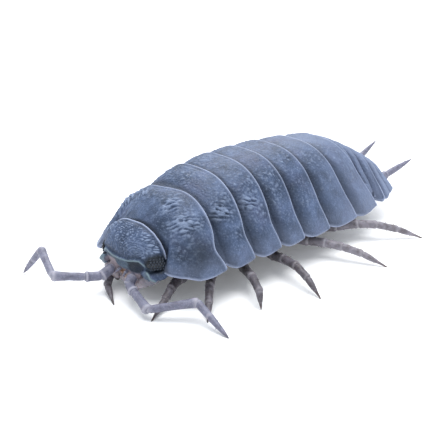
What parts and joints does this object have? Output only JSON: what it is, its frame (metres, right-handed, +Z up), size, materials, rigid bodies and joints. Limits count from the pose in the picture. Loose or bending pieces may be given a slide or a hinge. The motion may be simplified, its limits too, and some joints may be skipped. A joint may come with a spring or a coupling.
{
  "type": "woodlouse",
  "caption": "Standing woodlouse with a domed, plated back, jointed legs, bent feelers and short tail feelers, as a still life-size model.",
  "frame": {"origin": "middle of the footprint's bounding box, on the floor the animal stands on", "axes": "+Z up, -Y towards the head, +X towards the animal's left side"},
  "size_m": [0.0122, 0.0214, 0.0048],
  "materials": {
    "shell_blue_grey": "satin, finely grained",
    "eye_black": "glossy",
    "feeler_grey": "satin",
    "leg_brown": "satin",
    "mouth_brown": "satin"
  },
  "bodies": {
    "root": {"head": "shell_blue_grey", "mouthparts": "mouth_brown", "eye_left": "eye_black", "eye_right": "eye_black", "pereonite_1": "shell_blue_grey", "pereonite_2": "shell_blue_grey", "pereonite_3": "shell_blue_grey", "pereonite_4": "shell_blue_grey", "pereonite_5": "shell_blue_grey", "pereonite_6": "shell_blue_grey", "pereonite_7": "shell_blue_grey", "pleonite_1": "shell_blue_grey", "pleonite_2": "shell_blue_grey", "pleonite_3": "shell_blue_grey", "pleonite_4": "shell_blue_grey", "pleonite_5": "shell_blue_grey", "telson": "shell_blue_grey", "uropod_left": "feeler_grey", "uropod_right": "feeler_grey", "antenna_left": "feeler_grey", "antenna_right": "feeler_grey", "leg_1_left": "leg_brown", "leg_1_right": "leg_brown", "leg_2_left": "leg_brown", "leg_2_right": "leg_brown", "leg_3_left": "leg_brown", "leg_3_right": "leg_brown", "leg_4_left": "leg_brown", "leg_4_right": "leg_brown", "leg_5_left": "leg_brown", "leg_5_right": "leg_brown", "leg_6_left": "leg_brown", "leg_6_right": "leg_brown", "leg_7_left": "leg_brown", "leg_7_right": "leg_brown"}
  },
  "joints": []
}
